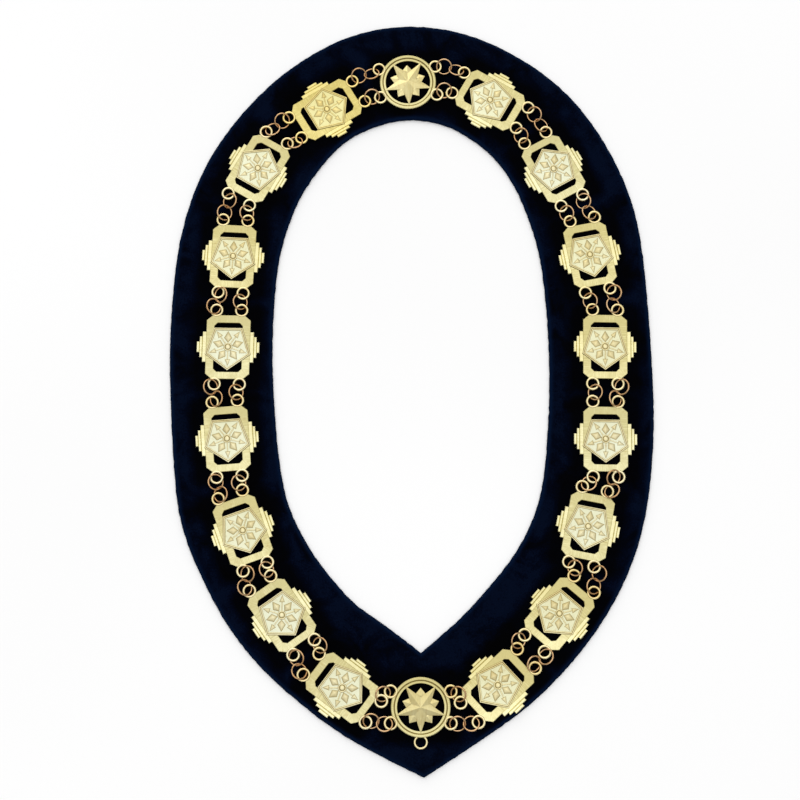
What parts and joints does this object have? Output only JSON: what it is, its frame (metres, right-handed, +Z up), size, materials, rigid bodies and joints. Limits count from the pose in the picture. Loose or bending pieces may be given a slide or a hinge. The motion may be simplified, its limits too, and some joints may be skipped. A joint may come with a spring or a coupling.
{
  "type": "chain of office",
  "caption": "Chain of office lying flat: a pointed navy velvet collar with a gilt double chain of pierced plates and star medallions linked by jump rings.",
  "frame": {"origin": "on the surface it lies on, under the middle of the collar's outline", "axes": "+Z up out of the velvet, -Y towards the pointed front with the jewel loop, +Y towards the back of the neck, +X to the right as seen from above"},
  "size_m": [0.3387, 0.5336, 0.0099],
  "materials": {
    "velvet": "dark navy cotton velvet with a short upright pile",
    "plate_gilt": "pale gilt, struck, brushed frames and satin grounds",
    "jump_ring_gilt": "polished warm gilt wire"
  },
  "bodies": {
    "root": {"velvet_collar": "velvet", "medallion_back": "plate_gilt", "medallion_front": "plate_gilt", "plate_right_1": "plate_gilt", "plate_right_2": "plate_gilt", "plate_right_3": "plate_gilt", "plate_right_4": "plate_gilt", "plate_right_5": "plate_gilt", "plate_right_6": "plate_gilt", "plate_right_7": "plate_gilt", "plate_right_8": "plate_gilt", "plate_left_1": "plate_gilt", "plate_left_2": "plate_gilt", "plate_left_3": "plate_gilt", "plate_left_4": "plate_gilt", "plate_left_5": "plate_gilt", "plate_left_6": "plate_gilt", "plate_left_7": "plate_gilt", "plate_left_8": "plate_gilt", "outer_rings_01": "jump_ring_gilt", "outer_rings_02": "jump_ring_gilt", "outer_rings_03": "jump_ring_gilt", "outer_rings_04": "jump_ring_gilt", "outer_rings_05": "jump_ring_gilt", "outer_rings_06": "jump_ring_gilt", "outer_rings_07": "jump_ring_gilt", "outer_rings_08": "jump_ring_gilt", "outer_rings_09": "jump_ring_gilt", "outer_rings_10": "jump_ring_gilt", "outer_rings_11": "jump_ring_gilt", "outer_rings_12": "jump_ring_gilt", "outer_rings_13": "jump_ring_gilt", "outer_rings_14": "jump_ring_gilt", "outer_rings_15": "jump_ring_gilt", "outer_rings_16": "jump_ring_gilt", "outer_rings_17": "jump_ring_gilt", "outer_rings_18": "jump_ring_gilt", "inner_ring_01": "jump_ring_gilt", "inner_ring_02": "jump_ring_gilt", "inner_ring_03": "jump_ring_gilt", "inner_ring_04": "jump_ring_gilt", "inner_ring_05": "jump_ring_gilt", "inner_ring_06": "jump_ring_gilt", "inner_ring_07": "jump_ring_gilt", "inner_ring_08": "jump_ring_gilt", "inner_ring_09": "jump_ring_gilt", "inner_ring_10": "jump_ring_gilt", "inner_ring_11": "jump_ring_gilt", "inner_ring_12": "jump_ring_gilt", "inner_ring_13": "jump_ring_gilt", "inner_ring_14": "jump_ring_gilt", "inner_ring_15": "jump_ring_gilt", "inner_ring_16": "jump_ring_gilt", "inner_ring_17": "jump_ring_gilt", "inner_ring_18": "jump_ring_gilt"}
  },
  "joints": []
}
